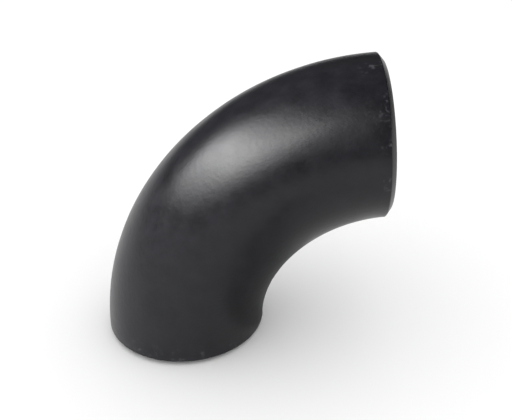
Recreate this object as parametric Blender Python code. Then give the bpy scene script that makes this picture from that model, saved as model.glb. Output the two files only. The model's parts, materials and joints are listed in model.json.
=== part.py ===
"""A 90-degree long-radius butt-weld pipe elbow, NPS 3 (DN 80), standard wall.

It is one piece of seamless steel: a pipe bent through a quarter turn, with a weld bevel machined on each
end. It stands on its lower weld end. The bend lies in the XZ plane, with the lower end facing -Z and the
upper end facing +X. The origin is on the floor, below the middle of the elbow. Units are metres.
"""

import math

import bmesh
import bpy
from mathutils import Matrix

# Driving dimensions, those of a standard NPS 3 long-radius elbow.
OUTSIDE_DIAMETER = 0.0889
WALL = 0.00549
BEND_RADIUS = 0.1143  # of the centreline, which is also the distance from the bend's centre to each end
ROOT_FACE = 0.0016  # width of the flat ring left at each end, inside the bevel
BEVEL_ANGLE = math.radians(37.5)  # between the bevel and the end plane
BORE_SHIFT = 0.0004  # how far bending moves the bore outwards at mid bend, so the wall is thickest inside

# Fineness of the facets.
SIDES = 60  # around the pipe
BEND_STEPS = 30  # along the bend
SHARP_FROM = math.radians(25.0)  # edges that turn more than this are drawn sharp
WELD_DISTANCE = 1e-6  # vertices this close are one

# Finish.
BLACK_PAINT = (0.022, 0.022, 0.025, 1.0)
PAINT_ROUGHNESS = 0.36

# Worked out from the dimensions above.
QUARTER_TURN = math.radians(90.0)
OUTER_RADIUS = OUTSIDE_DIAMETER / 2
BORE_RADIUS = OUTER_RADIUS - WALL
ROOT_RADIUS = BORE_RADIUS + ROOT_FACE
BEVEL_DEPTH = (OUTER_RADIUS - ROOT_RADIUS) * math.tan(BEVEL_ANGLE)
LOWER_END_X = -(BEND_RADIUS - OUTER_RADIUS) / 2
BEND_CENTRE_X = LOWER_END_X + BEND_RADIUS


def clear_scene():
    """Removes whatever objects the scene holds."""
    for obj in list(bpy.data.objects):
        bpy.data.objects.remove(obj)


def painted_steel():
    """Satin black paint, baked over the whole fitting."""
    material = bpy.data.materials.new("black_painted_steel")
    material.use_nodes = True
    shader = material.node_tree.nodes["Principled BSDF"]
    shader.inputs["Base Color"].default_value = BLACK_PAINT
    shader.inputs["Roughness"].default_value = PAINT_ROUGHNESS
    shader.inputs["Metallic"].default_value = 0.0
    return material


def bend_position(co):
    """Where a point lies on the bend: (distance from the bend's axis, turn up from the lower end)."""
    inward = BEND_CENTRE_X - co.x
    return math.hypot(inward, co.z), math.atan2(co.z, inward)


def put_on_bend(vertex, distance, turn):
    """Moves a vertex to that distance from the bend's axis and that turn, and leaves its Y as it is."""
    vertex.co.x = BEND_CENTRE_X - distance * math.cos(turn)
    vertex.co.z = distance * math.sin(turn)


def add_ring(bm, radius, turn):
    """A circle of edges square to the centreline, at that turn up the bend. Returns its vertices."""
    ring = bmesh.ops.create_circle(bm, cap_ends=False, segments=SIDES, radius=radius)["verts"]
    bmesh.ops.translate(bm, verts=ring, vec=(LOWER_END_X, 0.0, 0.0))
    bmesh.ops.rotate(
        bm,
        verts=ring,
        cent=(BEND_CENTRE_X, 0.0, 0.0),
        matrix=Matrix.Rotation(turn, 3, "Y"),
    )
    return ring


def edges_within(verts):
    """The edges whose two ends are both among these vertices."""
    inside = set(verts)
    return list({edge for v in verts for edge in v.link_edges if set(edge.verts) <= inside})


def sweep_skin(bm, radius, margin):
    """Spins a ring along the bend, leaving out that turn at each end. Returns the skin's two end rings."""
    first = add_ring(bm, radius, margin)
    spun = bmesh.ops.spin(
        bm,
        geom=first + edges_within(first),
        cent=(BEND_CENTRE_X, 0.0, 0.0),
        axis=(0.0, 1.0, 0.0),
        angle=QUARTER_TURN - 2 * margin,
        steps=BEND_STEPS,
    )
    last = [item for item in spun["geom_last"] if isinstance(item, bmesh.types.BMVert)]
    return first, last


def outer_skin(bm):
    """The outside of the pipe, ending at each bevel's outer edge. Returns its two end rings.

    Each end ring slides along the bend until all of it is one bevel depth from the end plane.
    """
    margin = math.asin(BEVEL_DEPTH / (BEND_RADIUS - OUTER_RADIUS))
    lower, upper = sweep_skin(bm, OUTER_RADIUS, margin)
    for vertex in lower:
        distance, _ = bend_position(vertex.co)
        put_on_bend(vertex, distance, math.asin(BEVEL_DEPTH / distance))
    for vertex in upper:
        distance, _ = bend_position(vertex.co)
        put_on_bend(vertex, distance, QUARTER_TURN - math.asin(BEVEL_DEPTH / distance))
    return lower, upper


def bore_skin(bm):
    """The bore, concentric with the outside at both ends and set outwards between. The mesh is still empty."""
    sweep_skin(bm, BORE_RADIUS, 0.0)
    for vertex in bm.verts:
        distance, turn = bend_position(vertex.co)
        along = max(0.0, math.sin(math.pi * turn / QUARTER_TURN))
        put_on_bend(vertex, distance + BORE_SHIFT * along, turn)


def grow_band(bm, ring, radius, turn):
    """A band of faces from a ring to the circle of that radius in the plane at that turn. Returns the circle."""
    grown = bmesh.ops.extrude_edge_only(bm, edges=edges_within(ring))["geom"]
    circle = [item for item in grown if isinstance(item, bmesh.types.BMVert)]
    for vertex in circle:
        distance, _ = bend_position(vertex.co)
        outward = distance - BEND_RADIUS
        scale = radius / math.hypot(outward, vertex.co.y)
        vertex.co.y *= scale
        put_on_bend(vertex, BEND_RADIUS + outward * scale, turn)
    return circle


def build_elbow(material):
    """The whole fitting: outside, bore and, at each end, a bevel that runs down to a flat root face."""
    bm = bmesh.new()
    bore_skin(bm)
    for ring, turn in zip(outer_skin(bm), (0.0, QUARTER_TURN), strict=True):
        root_edge = grow_band(bm, ring, ROOT_RADIUS, turn)
        grow_band(bm, root_edge, BORE_RADIUS, turn)
    bmesh.ops.remove_doubles(bm, verts=bm.verts, dist=WELD_DISTANCE)
    bmesh.ops.recalc_face_normals(bm, faces=bm.faces)
    mesh = bpy.data.meshes.new("elbow_body")
    bm.to_mesh(mesh)
    bm.free()
    mesh.shade_smooth()
    mesh.set_sharp_from_angle(angle=SHARP_FROM)
    mesh.materials.append(material)
    elbow = bpy.data.objects.new("elbow_body", mesh)
    bpy.context.scene.collection.objects.link(elbow)
    return elbow


def main():
    clear_scene()
    build_elbow(painted_steel())


main()
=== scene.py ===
"""The looks of a butt-weld pipe elbow, DN 80: satin black paint outside, machined weld bevels, scaled bore.

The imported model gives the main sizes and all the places. One fine mesh stands for the elbow's steel, painted
as the real one is: sprayed black outside and over the bevels, thin on the root faces, and bare mill scale
deep in the bore.
Units are metres, +Z is up, and the elbow stands on its lower weld end.
"""

from __future__ import annotations

import json
import logging
import math
from dataclasses import dataclass, field
from enum import Enum

import bmesh
import bpy
from mathutils import Matrix, Quaternion, Vector, noise

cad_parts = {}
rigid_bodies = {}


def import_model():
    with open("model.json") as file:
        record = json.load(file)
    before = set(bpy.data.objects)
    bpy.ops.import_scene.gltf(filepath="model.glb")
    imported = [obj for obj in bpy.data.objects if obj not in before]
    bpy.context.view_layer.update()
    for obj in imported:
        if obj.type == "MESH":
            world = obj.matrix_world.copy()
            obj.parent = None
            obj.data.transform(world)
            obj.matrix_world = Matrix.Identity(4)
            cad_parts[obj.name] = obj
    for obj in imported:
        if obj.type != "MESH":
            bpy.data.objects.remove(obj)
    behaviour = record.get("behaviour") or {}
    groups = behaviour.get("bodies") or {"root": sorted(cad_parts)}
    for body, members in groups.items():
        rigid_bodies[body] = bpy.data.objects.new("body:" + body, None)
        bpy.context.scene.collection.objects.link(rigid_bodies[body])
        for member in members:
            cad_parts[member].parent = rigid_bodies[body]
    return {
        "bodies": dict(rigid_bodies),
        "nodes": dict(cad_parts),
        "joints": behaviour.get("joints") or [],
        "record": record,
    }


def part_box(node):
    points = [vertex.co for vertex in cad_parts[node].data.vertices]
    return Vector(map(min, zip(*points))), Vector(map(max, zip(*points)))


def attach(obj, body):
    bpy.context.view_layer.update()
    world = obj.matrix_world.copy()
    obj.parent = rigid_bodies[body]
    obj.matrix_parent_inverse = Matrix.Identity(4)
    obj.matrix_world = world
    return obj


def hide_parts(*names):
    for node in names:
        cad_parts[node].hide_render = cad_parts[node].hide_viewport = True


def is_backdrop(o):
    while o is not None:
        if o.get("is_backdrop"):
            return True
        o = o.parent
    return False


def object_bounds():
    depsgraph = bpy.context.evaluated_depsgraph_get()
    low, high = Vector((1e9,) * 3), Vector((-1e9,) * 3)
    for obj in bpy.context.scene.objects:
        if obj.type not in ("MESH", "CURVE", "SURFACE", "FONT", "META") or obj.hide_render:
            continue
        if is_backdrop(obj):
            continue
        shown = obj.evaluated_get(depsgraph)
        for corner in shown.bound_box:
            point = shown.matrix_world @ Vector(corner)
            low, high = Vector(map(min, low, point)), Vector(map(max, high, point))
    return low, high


MILLIMETRE = 0.001
QUARTER_TURN = math.pi / 2
BODY = "root"
CAD_NODE = "elbow_body"
PIPE_COORDINATES = "straight_pipe"
MERGE_DISTANCE = 0.001 * MILLIMETRE

log = logging.getLogger("pipe_elbow")


# ---------------------------------------------------------------- helpers for nodes and colours


def linear(hex_colour: str) -> tuple[float, float, float, float]:
    """Turns an sRGB hex colour into the linear values that a shader takes.

    Args:
        hex_colour: Six hex digits, with or without a leading #.

    Returns:
        Linear red, green, blue and an alpha of 1.
    """
    digits = hex_colour.lstrip("#")
    channels = [int(digits[i : i + 2], 16) / 255 for i in (0, 2, 4)]
    red, green, blue = (c / 12.92 if c <= 0.04045 else ((c + 0.055) / 1.055) ** 2.4 for c in channels)
    return red, green, blue, 1.0


def add_node(
    tree: bpy.types.NodeTree,
    kind: str,
    settings: dict | None = None,
    links: dict | None = None,
) -> bpy.types.Node:
    """Adds a node, gives it its settings and links its inputs.

    Args:
        tree: The node tree that takes the node.
        kind: The node's type name, such as ShaderNodeTexNoise.
        settings: Attribute names, or input names or numbers, to values.
        links: Input names or numbers to the output sockets that feed them.

    Returns:
        The new node.
    """
    node = tree.nodes.new(kind)
    for name, value in (settings or {}).items():
        if isinstance(name, str) and hasattr(node, name):
            setattr(node, name, value)
        else:
            node.inputs[name].default_value = value
    for name, socket in (links or {}).items():
        tree.links.new(socket, node.inputs[name])
    return node


def to_nearest_end(
    tree: bpy.types.NodeTree, pipe: bpy.types.NodeSocket, length: float
) -> bpy.types.NodeSocket:
    """Measures how far along the pipe a point lies from the nearer of its two ends.

    Args:
        tree: The node tree that works it out.
        pipe: The point's place on the straight pipe.
        length: The pipe's length.

    Returns:
        The distance.
    """
    along = add_node(tree, "ShaderNodeSeparateXYZ", {}, {"Vector": pipe}).outputs["Z"]
    from_far = add_node(tree, "ShaderNodeMath", {"operation": "SUBTRACT", 0: length}, {1: along}).outputs[0]
    return add_node(tree, "ShaderNodeMath", {"operation": "MINIMUM"}, {0: along, 1: from_far}).outputs[0]


# ---------------------------------------------------------------- sizes


class Region(Enum):
    """The stretches of the elbow's skin, each with its own finish. The value is the material's index."""

    OUTSIDE = 0
    BEVEL = 1
    ROOT_FACE = 2
    BORE = 3


@dataclass(frozen=True)
class ElbowSizes:
    """The elbow's sizes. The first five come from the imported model, and the rest are the standard's."""

    outside_diameter: float
    bend_radius: float
    lower_end_x: float
    bend_centre_x: float
    root_face_middle: float
    root_face: float = 1.6 * MILLIMETRE
    bevel_angle: float = math.radians(37.5)
    bore_shift: float = 0.4 * MILLIMETRE
    edge_radius: float = 0.3 * MILLIMETRE
    forming_unevenness: float = 0.12 * MILLIMETRE

    @classmethod
    def from_frame(cls, frame: dict) -> ElbowSizes:
        """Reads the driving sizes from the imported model.


        Returns:
            The sizes of this elbow.
        """
        low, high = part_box(CAD_NODE)
        mounts = {mount["name"]: Vector(mount["pos_m"]) for mount in frame["record"]["mounts"]}
        lower, upper = mounts["lower_weld_end"], mounts["upper_weld_end"]
        return cls(
            outside_diameter=high.y - low.y,
            bend_radius=upper.z,
            lower_end_x=lower.x,
            bend_centre_x=upper.x,
            root_face_middle=lower.y,
        )

    @property
    def outer_radius(self) -> float:
        """Half the outside diameter."""
        return self.outside_diameter / 2

    @property
    def bore_radius(self) -> float:
        """Inner radius of the root face."""
        return self.root_face_middle - self.root_face / 2

    @property
    def root_radius(self) -> float:
        """Outer radius of the root face, where the bevel starts."""
        return self.root_face_middle + self.root_face / 2

    @property
    def bevel_depth(self) -> float:
        """How far the bevel runs back along the pipe from the end plane."""
        return (self.outer_radius - self.root_radius) * math.tan(self.bevel_angle)

    @property
    def centreline_length(self) -> float:
        """Length of the pipe along its centreline."""
        return self.bend_radius * QUARTER_TURN


# ---------------------------------------------------------------- finishes


@dataclass(frozen=True)
class SatinBlackPaint:
    """Black alkyd enamel, sprayed on blasted steel. It gives a near-black skin with a soft, wide shine.

    The film follows the blasted steel below, so its shine is broken by fine orange peel, and the paint is
    a little thinner and greyer in slow clouds. Handling has left pale smudges on it near the two ends.
    """

    body: str = "#0D0D10"
    cloud: str = "#131317"
    rubbed: str = "#525255"
    roughness_low: float = 0.28
    roughness_high: float = 0.38
    ior: float = 1.45
    gloss_level: float = 0.35
    cloud_size: float = 14.0 * MILLIMETRE
    # Real orange peel on such paint is about 0.5 mm across. It is drawn at 2.4 mm so that it shows.
    peel_size: float = 2.4 * MILLIMETRE
    peel_depth: float = 0.07 * MILLIMETRE
    smudge_size: float = 2.6 * MILLIMETRE
    patch_size: float = 11.0 * MILLIMETRE
    # Smudges lie within this distance of an end, and are as strong as they get within the core.
    scuff_reach: float = 13.0 * MILLIMETRE
    scuff_core: float = 5.2 * MILLIMETRE
    scuff_strength: float = 0.4

    def material(self, sizes: ElbowSizes) -> bpy.types.Material:
        """Builds the paint of the outside.

        Args:
            sizes: The elbow's sizes, for the places of its ends.

        Returns:
            The material.
        """
        material = bpy.data.materials.new("satin_black_enamel")
        material.use_nodes = True
        tree = material.node_tree
        shader = tree.nodes["Principled BSDF"]
        place = add_node(tree, "ShaderNodeTexCoord").outputs["Object"]
        clouds = add_node(
            tree,
            "ShaderNodeTexNoise",
            {"Scale": 1 / self.cloud_size, "Detail": 5.0, "Roughness": 0.65},
            {"Vector": place},
        ).outputs["Fac"]
        spread = add_node(
            tree,
            "ShaderNodeMapRange",
            {"From Min": 0.35, "From Max": 0.68},
            {"Value": clouds},
        ).outputs["Result"]
        tint = add_node(
            tree,
            "ShaderNodeMix",
            {"data_type": "RGBA", 6: linear(self.body), 7: linear(self.cloud)},
            {0: spread},
        ).outputs[2]
        scuffed = add_node(
            tree,
            "ShaderNodeMix",
            {"data_type": "RGBA", 7: linear(self.rubbed)},
            {0: self._scuffs(tree, sizes), 6: tint},
        ).outputs[2]
        roughness = add_node(
            tree,
            "ShaderNodeMapRange",
            {"From Min": 0.3, "From Max": 0.7, "To Min": self.roughness_low, "To Max": self.roughness_high},
            {"Value": clouds},
        ).outputs["Result"]
        peel = add_node(
            tree,
            "ShaderNodeTexNoise",
            {"Scale": 1 / self.peel_size, "Detail": 2.0},
            {"Vector": place},
        ).outputs["Fac"]
        bump = add_node(
            tree,
            "ShaderNodeBump",
            {"Distance": self.peel_depth, "Strength": 1.0},
            {"Height": peel},
        ).outputs["Normal"]
        tree.links.new(scuffed, shader.inputs["Base Color"])
        tree.links.new(roughness, shader.inputs["Roughness"])
        tree.links.new(bump, shader.inputs["Normal"])
        shader.inputs["IOR"].default_value = self.ior
        shader.inputs["Specular IOR Level"].default_value = self.gloss_level
        return material

    def _scuffs(self, tree: bpy.types.NodeTree, sizes: ElbowSizes) -> bpy.types.NodeSocket:
        """Marks where handling has rubbed the paint: soft, short smudges, in patches near the two ends.

        Args:
            tree: The paint's node tree.
            sizes: The elbow's sizes, for the places of its ends.

        Returns:
            How rubbed the paint is, from 0 to the scuffs' strength.
        """
        pipe = add_node(tree, "ShaderNodeAttribute", {"attribute_name": PIPE_COORDINATES}).outputs["Vector"]
        near_end = add_node(
            tree,
            "ShaderNodeMapRange",
            {"From Min": self.scuff_reach, "From Max": self.scuff_core},
            {"Value": to_nearest_end(tree, pipe, sizes.centreline_length)},
        ).outputs["Result"]
        patches = add_node(
            tree, "ShaderNodeTexNoise", {"Scale": 1 / self.patch_size, "Detail": 1.0}, {"Vector": pipe}
        ).outputs["Fac"]
        in_patch = add_node(
            tree, "ShaderNodeMapRange", {"From Min": 0.50, "From Max": 0.62}, {"Value": patches}
        ).outputs["Result"]
        smudges = add_node(
            tree,
            "ShaderNodeTexNoise",
            {"Scale": 1 / self.smudge_size, "Detail": 4.0, "Distortion": 0.5},
            {"Vector": pipe},
        ).outputs["Fac"]
        marks = add_node(
            tree,
            "ShaderNodeMapRange",
            {"From Min": 0.52, "From Max": 0.76, "To Max": self.scuff_strength},
            {"Value": smudges},
        ).outputs["Result"]
        here = add_node(tree, "ShaderNodeMath", {"operation": "MULTIPLY"}, {0: near_end, 1: in_patch})
        return add_node(
            tree, "ShaderNodeMath", {"operation": "MULTIPLY"}, {0: marks, 1: here.outputs[0]}
        ).outputs[0]


@dataclass(frozen=True)
class PaintedBevel:
    """The same enamel over a turned bevel: the lathe's fine grooves show through the thin film.

    It is deeper black than the outside and a little more even in its shine. High spots are rubbed greyer.
    """

    body: str = "#0E0E10"
    rubbed: str = "#28282A"
    roughness: float = 0.33
    ior: float = 1.45
    gloss_level: float = 0.4
    # A bevelling tool feeds about 0.2 mm a turn. The grooves are drawn at 0.7 mm so that they show.
    groove_spacing: float = 0.7 * MILLIMETRE
    groove_depth: float = 0.02 * MILLIMETRE
    wear_size: float = 3.0 * MILLIMETRE

    def material(self) -> bpy.types.Material:
        """Builds the paint of the bevels.

        Returns:
            The material.
        """
        material = bpy.data.materials.new("enamel_over_turned_bevel")
        material.use_nodes = True
        tree = material.node_tree
        shader = tree.nodes["Principled BSDF"]
        pipe = add_node(tree, "ShaderNodeAttribute", {"attribute_name": PIPE_COORDINATES}).outputs["Vector"]
        grooves = add_node(
            tree,
            "ShaderNodeTexWave",
            {
                "wave_type": "RINGS",
                "rings_direction": "Z",
                # One wave of this texture is 2 pi / 20 of a unit at a scale of 1.
                "Scale": 2 * math.pi / 20 / self.groove_spacing,
                "Distortion": 0.4,
                "Detail": 1.0,
            },
            {"Vector": pipe},
        ).outputs["Fac"]
        wear = add_node(
            tree,
            "ShaderNodeTexNoise",
            {"Scale": 1 / self.wear_size, "Detail": 5.0, "Roughness": 0.65},
            {"Vector": pipe},
        ).outputs["Fac"]
        rubbed = add_node(
            tree,
            "ShaderNodeMapRange",
            {"From Min": 0.58, "From Max": 0.72},
            {"Value": wear},
        ).outputs["Result"]
        colour = add_node(
            tree,
            "ShaderNodeMix",
            {"data_type": "RGBA", 6: linear(self.body), 7: linear(self.rubbed)},
            {0: rubbed},
        ).outputs[2]
        bump = add_node(
            tree,
            "ShaderNodeBump",
            {"Distance": self.groove_depth, "Strength": 1.0},
            {"Height": grooves},
        ).outputs["Normal"]
        tree.links.new(colour, shader.inputs["Base Color"])
        tree.links.new(bump, shader.inputs["Normal"])
        shader.inputs["Roughness"].default_value = self.roughness
        shader.inputs["IOR"].default_value = self.ior
        shader.inputs["Specular IOR Level"].default_value = self.gloss_level
        return material


@dataclass(frozen=True)
class WornRootFace:
    """Turned mild steel, the flat ring at each end: a thin bright line, broken by what is left of the paint.

    Standing, dragging and stacking scrape the paint off it.
    """

    paint: str = "#2B2B2D"
    steel: str = "#8E8A85"
    paint_roughness: float = 0.5
    steel_roughness: float = 0.34
    scrape_size: float = 2.5 * MILLIMETRE

    def material(self) -> bpy.types.Material:
        """Builds the root faces' worn paint and bare steel.

        Returns:
            The material.
        """
        material = bpy.data.materials.new("worn_root_face_steel")
        material.use_nodes = True
        tree = material.node_tree
        shader = tree.nodes["Principled BSDF"]
        pipe = add_node(tree, "ShaderNodeAttribute", {"attribute_name": PIPE_COORDINATES}).outputs["Vector"]
        scrapes = add_node(
            tree,
            "ShaderNodeTexNoise",
            {"Scale": 1 / self.scrape_size, "Detail": 6.0, "Roughness": 0.6},
            {"Vector": pipe},
        ).outputs["Fac"]
        bare = add_node(
            tree,
            "ShaderNodeMapRange",
            {"From Min": 0.50, "From Max": 0.60},
            {"Value": scrapes},
        ).outputs["Result"]
        colour = add_node(
            tree,
            "ShaderNodeMix",
            {"data_type": "RGBA", 6: linear(self.paint), 7: linear(self.steel)},
            {0: bare},
        ).outputs[2]
        roughness = add_node(
            tree,
            "ShaderNodeMapRange",
            {"To Min": self.paint_roughness, "To Max": self.steel_roughness},
            {"Value": bare},
        ).outputs["Result"]
        tree.links.new(colour, shader.inputs["Base Color"])
        tree.links.new(bare, shader.inputs["Metallic"])
        tree.links.new(roughness, shader.inputs["Roughness"])
        return material


@dataclass(frozen=True)
class BoreScale:
    """Hot-rolled mill scale in the bore: blue-grey oxide with draw marks and a breath of rust.

    Paint drifts in at each mouth and thins out over the first few centimetres.
    """

    scale: str = "#56575C"
    scale_light: str = "#6A6B70"
    rust: str = "#74503A"
    overspray: str = "#303033"
    roughness: float = 0.58
    # The mandrel's marks run along the pipe, a few millimetres apart and some centimetres long.
    mark_width: float = 1.8 * MILLIMETRE
    mark_stretch: float = 0.06
    mark_depth: float = 0.05 * MILLIMETRE
    patch_size: float = 9.0 * MILLIMETRE
    overspray_reach: float = 38.0 * MILLIMETRE
    raggedness: float = 30.0 * MILLIMETRE

    def material(self, sizes: ElbowSizes) -> bpy.types.Material:
        """Builds the mill scale of the bore.

        Args:
            sizes: The elbow's sizes, for the places of its mouths.

        Returns:
            The material.
        """
        material = bpy.data.materials.new("bore_mill_scale")
        material.use_nodes = True
        tree = material.node_tree
        shader = tree.nodes["Principled BSDF"]
        pipe = add_node(tree, "ShaderNodeAttribute", {"attribute_name": PIPE_COORDINATES}).outputs["Vector"]
        stretched = add_node(
            tree,
            "ShaderNodeMapping",
            {"Scale": (1.0, 1.0, self.mark_stretch)},
            {"Vector": pipe},
        ).outputs["Vector"]
        marks = add_node(
            tree,
            "ShaderNodeTexNoise",
            {"Scale": 1 / self.mark_width, "Detail": 3.0, "Roughness": 0.6},
            {"Vector": stretched},
        ).outputs["Fac"]
        patches = add_node(
            tree,
            "ShaderNodeTexNoise",
            {"Scale": 1 / self.patch_size, "Detail": 6.0, "Roughness": 0.62},
            {"Vector": pipe},
        ).outputs["Fac"]
        scale_colour = add_node(
            tree,
            "ShaderNodeMix",
            {"data_type": "RGBA", 6: linear(self.scale), 7: linear(self.scale_light)},
            {0: marks},
        ).outputs[2]
        is_rust = add_node(
            tree,
            "ShaderNodeMapRange",
            {"From Min": 0.56, "From Max": 0.70, "To Max": 0.55},
            {"Value": patches},
        ).outputs["Result"]
        oxidised = add_node(
            tree,
            "ShaderNodeMix",
            {"data_type": "RGBA", 7: linear(self.rust)},
            {0: is_rust, 6: scale_colour},
        ).outputs[2]
        colour = add_node(
            tree,
            "ShaderNodeMix",
            {"data_type": "RGBA", 7: linear(self.overspray)},
            {0: self._overspray(tree, pipe, patches, sizes), 6: oxidised},
        ).outputs[2]
        bump = add_node(
            tree,
            "ShaderNodeBump",
            {"Distance": self.mark_depth, "Strength": 1.0},
            {"Height": marks},
        ).outputs["Normal"]
        tree.links.new(colour, shader.inputs["Base Color"])
        tree.links.new(bump, shader.inputs["Normal"])
        shader.inputs["Roughness"].default_value = self.roughness
        return material

    def _overspray(
        self,
        tree: bpy.types.NodeTree,
        pipe: bpy.types.NodeSocket,
        patches: bpy.types.NodeSocket,
        sizes: ElbowSizes,
    ) -> bpy.types.NodeSocket:
        """Lays paint on the scale: all of it at a mouth, none past the overspray's ragged reach.

        Args:
            tree: The scale's node tree.
            pipe: A point's place on the straight pipe.
            patches: A slow noise that makes the paint's edge ragged.
            sizes: The elbow's sizes, for the places of its mouths.

        Returns:
            How much paint there is, from 0 to 1.
        """
        ragged = add_node(
            tree,
            "ShaderNodeMath",
            {"operation": "MULTIPLY_ADD", 1: self.raggedness},
            {0: patches, 2: to_nearest_end(tree, pipe, sizes.centreline_length)},
        ).outputs[0]
        # The patches are 0.5 on average, so they move the edge by half the raggedness.
        moved = self.raggedness / 2
        return add_node(
            tree,
            "ShaderNodeMapRange",
            {"From Min": self.overspray_reach + moved, "From Max": moved},
            {"Value": ragged},
        ).outputs["Result"]


# ---------------------------------------------------------------- the elbow


@dataclass
class Elbow:
    """The fitting itself: one bent tube of steel, as one closed mesh with a finish for each region."""

    sizes: ElbowSizes
    ring_points: int = 180
    bend_steps: int = 96
    edge_segments: int = 3
    lump_size: float = 22.0 * MILLIMETRE
    # How steeply the unevenness fades in from the machined ends, in parts of it per part of the bend.
    lump_fade: float = 3.0
    paint: SatinBlackPaint = field(default_factory=SatinBlackPaint)
    bevel_paint: PaintedBevel = field(default_factory=PaintedBevel)
    root_steel: WornRootFace = field(default_factory=WornRootFace)
    bore_scale: BoreScale = field(default_factory=BoreScale)

    def build(self) -> bpy.types.Object:
        """Models the elbow, paints it and puts it in the CAD node's place.

        Returns:
            The finished piece.
        """
        bm = bmesh.new()
        self._sweep(bm, self.sizes.bore_radius, 0.0, Region.BORE)
        margin = math.asin(self.sizes.bevel_depth / (self.sizes.bend_radius - self.sizes.outer_radius))
        rings = self._sweep(bm, self.sizes.outer_radius, margin, Region.OUTSIDE)
        for ring, turn in zip(rings, (0.0, QUARTER_TURN), strict=True):
            self._trim_square(ring, turn)
            root_edge = self._grow_band(bm, ring, self.sizes.root_radius, turn, Region.BEVEL)
            self._grow_band(bm, root_edge, self.sizes.bore_radius, turn, Region.ROOT_FACE)
        bmesh.ops.remove_doubles(bm, verts=bm.verts, dist=MERGE_DISTANCE)
        bmesh.ops.recalc_face_normals(bm, faces=bm.faces)
        self._uneven_skin(bm)
        self._round_edges(bm)
        mesh = bpy.data.meshes.new("elbow")
        bm.to_mesh(mesh)
        bm.free()
        mesh.shade_smooth()
        self._write_pipe_coordinates(mesh)
        elbow = bpy.data.objects.new("elbow", mesh)
        bpy.context.scene.collection.objects.link(elbow)
        self._dress(mesh)
        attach(elbow, BODY)
        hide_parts(CAD_NODE)
        return elbow

    def _bend_position(self, co: Vector) -> tuple[float, float]:
        """Finds a point's place on the bend.

        Args:
            co: The point.

        Returns:
            Its distance from the bend's axis, and its turn up from the lower end.
        """
        inward = self.sizes.bend_centre_x - co.x
        return math.hypot(inward, co.z), math.atan2(co.z, inward)

    def _put_on_bend(self, vertex: bmesh.types.BMVert, distance: float, turn: float) -> None:
        """Moves a vertex to a place on the bend, and leaves its Y as it is.

        Args:
            vertex: The vertex.
            distance: How far from the bend's axis it goes.
            turn: Its turn up from the lower end.
        """
        vertex.co.x = self.sizes.bend_centre_x - distance * math.cos(turn)
        vertex.co.z = distance * math.sin(turn)

    def _sweep(
        self, bm: bmesh.types.BMesh, radius: float, margin: float, region: Region
    ) -> tuple[list[bmesh.types.BMVert], list[bmesh.types.BMVert]]:
        """Spins a ring along the bend.

        Args:
            bm: The mesh that takes the skin.
            radius: The ring's radius.
            margin: The turn that is left out at each end.
            region: What the skin is.

        Returns:
            The vertices of the skin's lower and upper end rings.
        """
        centre = (self.sizes.bend_centre_x, 0.0, 0.0)
        before = set(bm.faces)
        lower = bmesh.ops.create_circle(bm, segments=self.ring_points, radius=radius)["verts"]
        bmesh.ops.translate(bm, verts=lower, vec=(self.sizes.lower_end_x, 0.0, 0.0))
        bmesh.ops.rotate(bm, verts=lower, cent=centre, matrix=Matrix.Rotation(margin, 3, "Y"))
        spun = bmesh.ops.spin(
            bm,
            geom=lower + self._edges_within(lower),
            cent=centre,
            axis=(0.0, 1.0, 0.0),
            angle=QUARTER_TURN - 2 * margin,
            steps=self.bend_steps,
        )
        for face in set(bm.faces) - before:
            face.material_index = region.value
        return lower, [item for item in spun["geom_last"] if isinstance(item, bmesh.types.BMVert)]

    @staticmethod
    def _edges_within(verts: list[bmesh.types.BMVert]) -> list[bmesh.types.BMEdge]:
        """The edges whose two ends are both among these vertices."""
        inside = set(verts)
        return list({edge for v in verts for edge in v.link_edges if set(edge.verts) <= inside})

    def _trim_square(self, ring: list[bmesh.types.BMVert], turn: float) -> None:
        """Slides an outer end ring along the bend, until all of it is one bevel depth from its end plane.

        Args:
            ring: The ring's vertices.
            turn: The end plane's turn, which is 0 or a quarter turn.
        """
        for vertex in ring:
            distance, _ = self._bend_position(vertex.co)
            inset = math.asin(self.sizes.bevel_depth / distance)
            self._put_on_bend(vertex, distance, abs(turn - inset))

    def _grow_band(
        self,
        bm: bmesh.types.BMesh,
        ring: list[bmesh.types.BMVert],
        radius: float,
        turn: float,
        region: Region,
    ) -> list[bmesh.types.BMVert]:
        """Adds a band of faces from a ring to a circle in an end plane.

        Args:
            bm: The mesh.
            ring: The ring that the band starts from.
            radius: The new circle's radius.
            turn: The end plane's turn.
            region: What the band is.

        Returns:
            The circle's vertices.
        """
        grown = bmesh.ops.extrude_edge_only(bm, edges=self._edges_within(ring))["geom"]
        circle = [item for item in grown if isinstance(item, bmesh.types.BMVert)]
        for vertex in circle:
            distance, _ = self._bend_position(vertex.co)
            outward = distance - self.sizes.bend_radius
            scale = radius / math.hypot(outward, vertex.co.y)
            vertex.co.y *= scale
            self._put_on_bend(vertex, self.sizes.bend_radius + outward * scale, turn)
        for face in grown:
            if isinstance(face, bmesh.types.BMFace):
                face.material_index = region.value
        return circle

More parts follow.
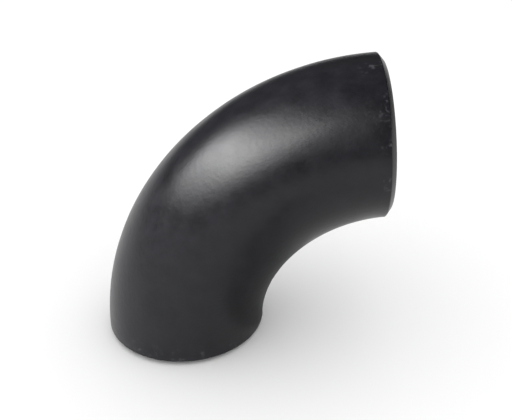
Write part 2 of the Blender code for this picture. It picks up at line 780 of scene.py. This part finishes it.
    def _uneven_skin(self, bm: bmesh.types.BMesh) -> None:
        """Gives the outside the slow unevenness of hot forming, and sets the bore outwards at mid bend.

        The outside only ever goes inwards, by less than the unevenness, and both fade out at the machined
        ends.

        Args:
            bm: The elbow's mesh.
        """
        ends = {region.value for region in (Region.BEVEL, Region.ROOT_FACE)}
        moves = {}
        for vertex in bm.verts:
            indices = {face.material_index for face in vertex.link_faces}
            if indices & ends:
                continue
            distance, turn = self._bend_position(vertex.co)
            along = math.sin(2 * turn)
            if Region.BORE.value in indices:
                moves[vertex] = (distance + self.sizes.bore_shift * along, turn, 0.0)
                continue
            lumps = 0.5 + 0.5 * noise.noise(vertex.co / self.lump_size)
            depth = self.sizes.forming_unevenness * lumps * min(1.0, self.lump_fade * along)
            moves[vertex] = (distance, turn, depth)
        for vertex, (distance, turn, depth) in moves.items():
            normal = vertex.normal.copy()
            self._put_on_bend(vertex, distance, turn)
            vertex.co -= normal * depth

    def _round_edges(self, bm: bmesh.types.BMesh) -> None:
        """Breaks the edges between regions with a small radius, as a file and a coat of paint do.

        Args:
            bm: The elbow's mesh.
        """
        edges = [e for e in bm.edges if len({face.material_index for face in e.link_faces}) > 1]
        bmesh.ops.bevel(
            bm,
            geom=edges,
            offset=self.sizes.edge_radius,
            offset_type="OFFSET",
            segments=self.edge_segments,
            profile=0.5,
            affect="EDGES",
            material=-1,
        )

    def _write_pipe_coordinates(self, mesh: bpy.types.Mesh) -> None:
        """Stores where each point would lie on the pipe before it was bent, for patterns that follow it.

        X and Y are across the pipe from its centreline, and Z is along it from the lower end.

        Args:
            mesh: The elbow's mesh.
        """
        attribute = mesh.attributes.new(PIPE_COORDINATES, "FLOAT_VECTOR", "POINT")
        for vertex, item in zip(mesh.vertices, attribute.data, strict=True):
            distance, turn = self._bend_position(vertex.co)
            item.vector = (distance - self.sizes.bend_radius, vertex.co.y, turn * self.sizes.bend_radius)

    def _dress(self, mesh: bpy.types.Mesh) -> None:
        """Gives the mesh its finishes, in the order of the regions.

        Args:
            mesh: The elbow's mesh.
        """
        finishes = {
            Region.OUTSIDE: self.paint.material(self.sizes),
            Region.BEVEL: self.bevel_paint.material(),
            Region.ROOT_FACE: self.root_steel.material(),
            Region.BORE: self.bore_scale.material(self.sizes),
        }
        for region in Region:
            mesh.materials.append(finishes[region])


# ---------------------------------------------------------------- the studio


@dataclass(frozen=True)
class Softbox:
    """A soft rectangular studio light that points at the elbow. Angles are in degrees, sizes in metres."""

    name: str
    azimuth: float
    elevation: float
    width: float
    height: float
    watts: float
    distance: float = 1.2

    def place(self, target: Vector, lit: bpy.types.Collection) -> None:
        """Makes the light.

        Args:
            target: The point that it shines at.
            lit: The objects that it lights.
        """
        data = bpy.data.lights.new(self.name, "AREA")
        data.shape = "RECTANGLE"
        data.size = self.width
        data.size_y = self.height
        data.energy = self.watts
        light = bpy.data.objects.new(self.name, data)
        outward = direction(self.azimuth, self.elevation)
        light.location = target + outward * self.distance
        light.rotation_euler = (-outward).to_track_quat("-Z", "Y").to_euler()
        light.light_linking.receiver_collection = lit
        bpy.context.scene.collection.objects.link(light)


def direction(azimuth: float, elevation: float) -> Vector:
    """The way from the elbow to something around it.

    Args:
        azimuth: Degrees round from the front, positive towards +X.
        elevation: Degrees above the horizon.

    Returns:
        A vector of length 1.
    """
    around, up = math.radians(azimuth), math.radians(elevation)
    return Vector((math.sin(around) * math.cos(up), -math.cos(around) * math.cos(up), math.sin(up)))


@dataclass
class Studio:
    """A pale floor, soft light and the camera. Camera angles are in degrees, and its places in metres."""

    floor_colour: str = "#F5F5F5"
    floor_half_width: float = 3.0
    floor_gap: float = 0.02 * MILLIMETRE
    # The grey card is painted shade: its grey stands for the elbow's shadow beside the foot, and only the
    # paint's reflections see it.
    shadow_card_colour: str = "#A8A8A8"
    shadow_card_low: tuple[float, float] = (0.01, -0.3)
    shadow_card_high: tuple[float, float] = (0.05, 0.1)
    matt_roughness: float = 0.9
    matt_gloss_level: float = 0.1
    ambient: str = "#FFFFFF"
    ambient_strength: float = 1.2
    camera_azimuth: float = -2.26
    camera_elevation: float = 31.63
    camera_distance: float = 0.6609
    camera_roll: float = -2.31
    camera_aim: tuple[float, float, float] = (0.0085, 0.0071, 0.0669)
    lens: float = 82.37
    softboxes: tuple[Softbox, ...] = (
        Softbox("key_softbox", azimuth=-62.0, elevation=41.0, width=1.35, height=0.85, watts=27.5),
        Softbox("key_strip", azimuth=-78.0, elevation=41.0, width=1.35, height=0.3, watts=19.0),
        Softbox("low_left_softbox", azimuth=-100.0, elevation=28.0, width=0.3, height=0.3, watts=2.3),
        Softbox("front_softbox", azimuth=-17.0, elevation=41.0, width=0.6, height=0.9, watts=1.9),
        Softbox("back_panel", azimuth=165.0, elevation=44.0, width=2.2, height=1.2, watts=1.0),
        Softbox("right_softbox", azimuth=52.0, elevation=8.0, width=0.6, height=0.6, watts=2.8),
    )

    def set_up(self, elbow: bpy.types.Object, target: Vector) -> None:
        """Builds the studio round the elbow.

        Args:
            elbow: The elbow, which alone the softboxes light. They are flagged off the floor, so that no
                hard shadow falls there.
            target: The middle of the elbow.
        """
        self._floor()
        self._painted_shadow_card()
        self._ambient()
        lit = bpy.data.collections.new("lit_by_softboxes")
        lit.objects.link(elbow)
        for softbox in self.softboxes:
            softbox.place(target, lit)
        self._camera()
        bpy.context.scene.view_settings.view_transform = "Standard"

    def _sheet(self, name: str, colour: str, low: Vector, high: Vector) -> bpy.types.Object:
        """Makes a flat level matt sheet that is scenery, and no part of the elbow.

        Args:
            name: The sheet's name.
            colour: Its sRGB hex colour.
            low: Its corner with the lowest X and Y.
            high: Its corner with the highest X and Y, at the same height.

        Returns:
            The sheet.
        """
        bm = bmesh.new()
        bmesh.ops.create_grid(bm, x_segments=1, y_segments=1, size=0.5)
        bmesh.ops.scale(bm, verts=bm.verts, vec=high - low)
        bmesh.ops.translate(bm, verts=bm.verts, vec=(low + high) / 2)
        mesh = bpy.data.meshes.new(name)
        bm.to_mesh(mesh)
        bm.free()
        material = bpy.data.materials.new(f"matt_{name}")
        material.use_nodes = True
        shader = material.node_tree.nodes["Principled BSDF"]
        shader.inputs["Base Color"].default_value = linear(colour)
        shader.inputs["Roughness"].default_value = self.matt_roughness
        shader.inputs["Specular IOR Level"].default_value = self.matt_gloss_level
        mesh.materials.append(material)
        sheet = bpy.data.objects.new(name, mesh)
        bpy.context.scene.collection.objects.link(sheet)
        sheet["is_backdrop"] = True
        return sheet

    def _floor(self) -> None:
        """A plain pale floor under the lower weld end."""
        half = self.floor_half_width
        low, high = Vector((-half, -half, -self.floor_gap)), Vector((half, half, -self.floor_gap))
        self._sheet("floor", self.floor_colour, low, high)

    def _painted_shadow_card(self) -> None:
        """A narrow grey card on the floor beside the foot, which is painted shadow. Its grey stands for the
        elbow's shadow on the floor, and only the paint sees it, as a painted reflection of that shade inside
        the bend.
        """
        height = -self.floor_gap / 2
        low, high = Vector((*self.shadow_card_low, height)), Vector((*self.shadow_card_high, height))
        card = self._sheet("painted_shadow_card", self.shadow_card_colour, low, high)
        card.visible_camera = False
        card.visible_diffuse = False
        card.visible_shadow = False

    def _ambient(self) -> None:
        """Even light from all round."""
        world = bpy.data.worlds.new("studio_ambient")
        world.use_nodes = True
        background = world.node_tree.nodes["Background"]
        background.inputs["Color"].default_value = linear(self.ambient)
        background.inputs["Strength"].default_value = self.ambient_strength
        # It fills the floor's shadows, but isn't seen in the paint, as in a studio with dark walls.
        world.cycles_visibility.glossy = False
        bpy.context.scene.world = world

    def _camera(self) -> None:
        """The camera, a little above and to the left of the elbow's front."""
        data = bpy.data.cameras.new("camera")
        data.lens = self.lens
        camera = bpy.data.objects.new("camera", data)
        outward = direction(self.camera_azimuth, self.camera_elevation)
        level = (-outward).to_track_quat("-Z", "Y")
        roll = Quaternion((0.0, 0.0, 1.0), math.radians(self.camera_roll))
        camera.location = Vector(self.camera_aim) + outward * self.camera_distance
        camera.rotation_euler = (level @ roll).to_euler()
        bpy.context.scene.collection.objects.link(camera)
        bpy.context.scene.camera = camera


# ---------------------------------------------------------------- the whole scene


def main() -> None:
    """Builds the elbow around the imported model, then the studio."""
    logging.basicConfig(level=logging.INFO, format="%(name)s: %(message)s")
    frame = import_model()
    cad_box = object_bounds()
    sizes = ElbowSizes.from_frame(frame)
    elbow = Elbow(sizes).build()
    log.info("%s: %d faces on body %s, for %s", elbow.name, len(elbow.data.polygons), BODY, CAD_NODE)
    low, high = cad_box
    Studio().set_up(elbow, (low + high) / 2)


if __name__ == "__main__":
    main()
